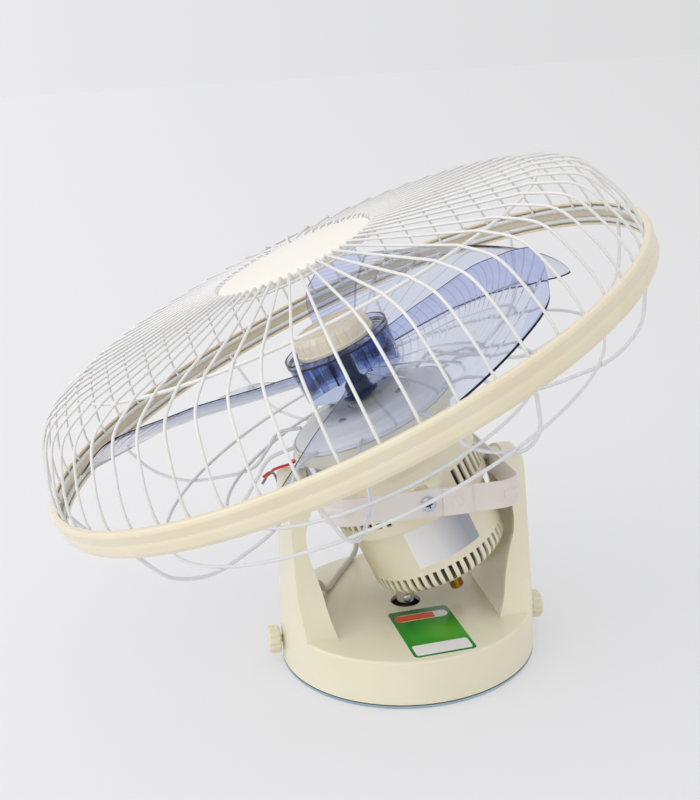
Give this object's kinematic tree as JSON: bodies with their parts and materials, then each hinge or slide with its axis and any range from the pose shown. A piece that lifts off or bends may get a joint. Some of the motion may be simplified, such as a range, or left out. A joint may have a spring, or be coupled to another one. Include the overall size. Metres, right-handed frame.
{
  "type": "orbital ceiling fan",
  "caption": "Ceiling fan whose caged, three-bladed head orbits on a gimbal strap in a forked base, driven by a geared crank.",
  "frame": {"origin": "centre of the mounting plate's outer face", "axes": "+Z from the mounting plate to the fan, +X through the fork's two pivots"},
  "size_m": [0.4285, 0.4582, 0.3615],
  "materials": {
    "zinc": "zinc-plated, satin",
    "cream_abs": "moulded, semi-gloss",
    "white_paint": "powder-coated",
    "strap_paint": "painted, semi-gloss",
    "clip_plastic": "moulded, semi-gloss",
    "blue_plastic": "transparent, moulded",
    "spinner_plastic": "moulded, semi-gloss",
    "nylon": "moulded, matt",
    "white_plastic": "moulded, matt",
    "steel": "plain steel",
    "brass": "turned",
    "copper": "copper-coloured plating",
    "winding": "enamelled copper wire",
    "rubber": "moulded",
    "cable_sheath": "extruded PVC",
    "red_insulation": "extruded PVC",
    "grey_insulation": "extruded PVC"
  },
  "bodies": {
    "base": {"mounting_plate": "zinc", "plate_tabs": "zinc", "base_cover": "cream_abs", "cover_thumb_screws": "cream_abs", "crank_post": "zinc", "terminal_block": "white_plastic", "capacitor": "white_plastic", "cable_grommet": "rubber", "yoke_pivot_screws": "zinc", "cable_lower": "cable_sheath", "red_lead": "red_insulation", "grey_lead": "grey_insulation"},
    "strap": {"gimbal_band": "strap_paint", "band_rivet": "strap_paint", "gimbal_bushes": "nylon", "cable_clip": "zinc", "cable_middle": "cable_sheath"},
    "head": {"head_pivot_screws": "zinc", "motor_front_cover": "cream_abs", "motor_rear_cover": "cream_abs", "stator_screws": "steel", "stator_core": "steel", "stator_windings": "winding", "front_bearing": "brass", "rear_bearing": "brass", "gearbox_housing": "steel", "strain_relief": "rubber", "cable_upper": "cable_sheath", "guard_retainer": "white_plastic", "retainer_screws": "zinc", "rear_guard_spokes": "white_paint", "rear_guard_hoops": "white_paint", "guard_clip": "clip_plastic", "clip_joiner": "clip_plastic", "front_guard_spokes": "white_paint", "front_guard_hoops": "white_paint", "guard_cap": "cream_abs", "cap_lug": "cream_abs"},
    "rotor": {"motor_shaft": "steel", "rotor_core": "steel", "drive_pin": "steel", "fan_hub": "blue_plastic", "fan_blade_1": "blue_plastic", "fan_blade_2": "blue_plastic", "fan_blade_3": "blue_plastic", "spinner": "spinner_plastic"},
    "crank": {"output_shaft": "brass", "crank_arm": "copper", "crank_block": "nylon", "crank_screw": "zinc"}
  },
  "joints": [
    {"name": "strap_tilt", "type": "hinge", "parent": "base", "child": "strap", "pos_m": [0, 0, 0.1413], "axis": [1, 0, 0], "range_deg": [-19.21, 26.11], "deforming": ["cable_middle"]},
    {"name": "head_tilt", "type": "hinge", "parent": "strap", "child": "head", "pos_m": [0, 0, 0.1413], "axis": [0, 0.9982, -0.0602], "range_deg": [-0.25, 45.07], "deforming": ["cable_upper"]},
    {"name": "rotor_spin", "type": "hinge", "parent": "head", "child": "rotor", "pos_m": [0, 0, 0.1413], "axis": [-0.3812, 0.0557, 0.9228], "continuous": true},
    {"name": "crank_turn", "type": "hinge", "parent": "head", "child": "crank", "pos_m": [0, 0, 0.1413], "axis": [-0.3812, 0.0557, 0.9228], "continuous": true}
  ],
  "couplings": [
    {"joint": "crank_turn", "follows": "rotor_spin", "ratio": 0.0055556}
  ]
}
